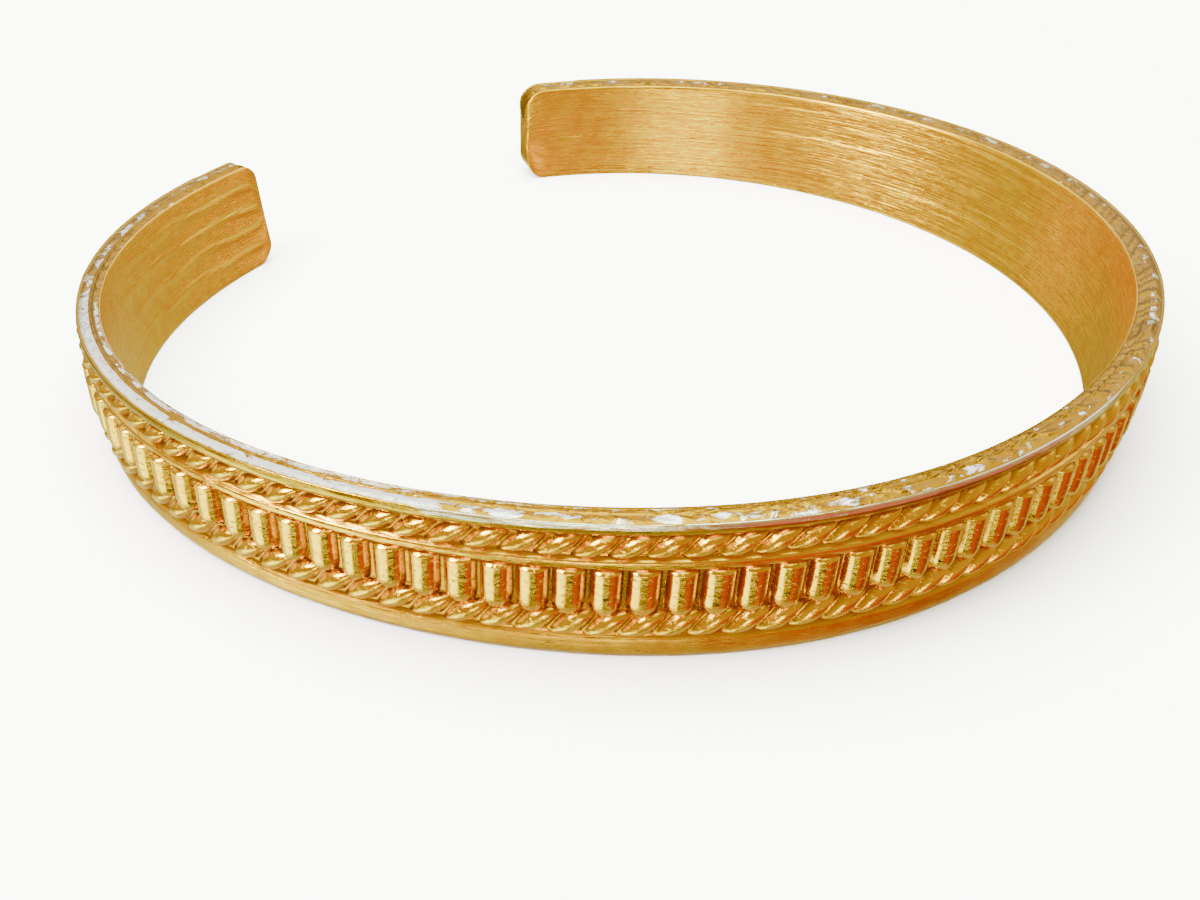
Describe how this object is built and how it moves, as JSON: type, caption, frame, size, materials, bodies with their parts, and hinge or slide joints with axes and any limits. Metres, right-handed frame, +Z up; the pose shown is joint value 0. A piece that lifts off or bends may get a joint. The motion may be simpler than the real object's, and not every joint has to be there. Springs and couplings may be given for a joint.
{
  "type": "cuff bracelet",
  "caption": "Open oval cuff bracelet, a one-piece gilded metal band with rope and gadroon rows raised on its outer face.",
  "frame": {"origin": "under the middle of the plan, on the surface that the lower edge rests on", "axes": "+X across the cuff, +Y from the front towards the gap between the ends, +Z up from the lower edge to the upper edge"},
  "size_m": [0.0668, 0.0584, 0.0094],
  "materials": {
    "gilt_metal": "polished gilding, worn to silver along the upper edge"
  },
  "bodies": {
    "root": {"cuff": "gilt_metal"}
  },
  "joints": []
}
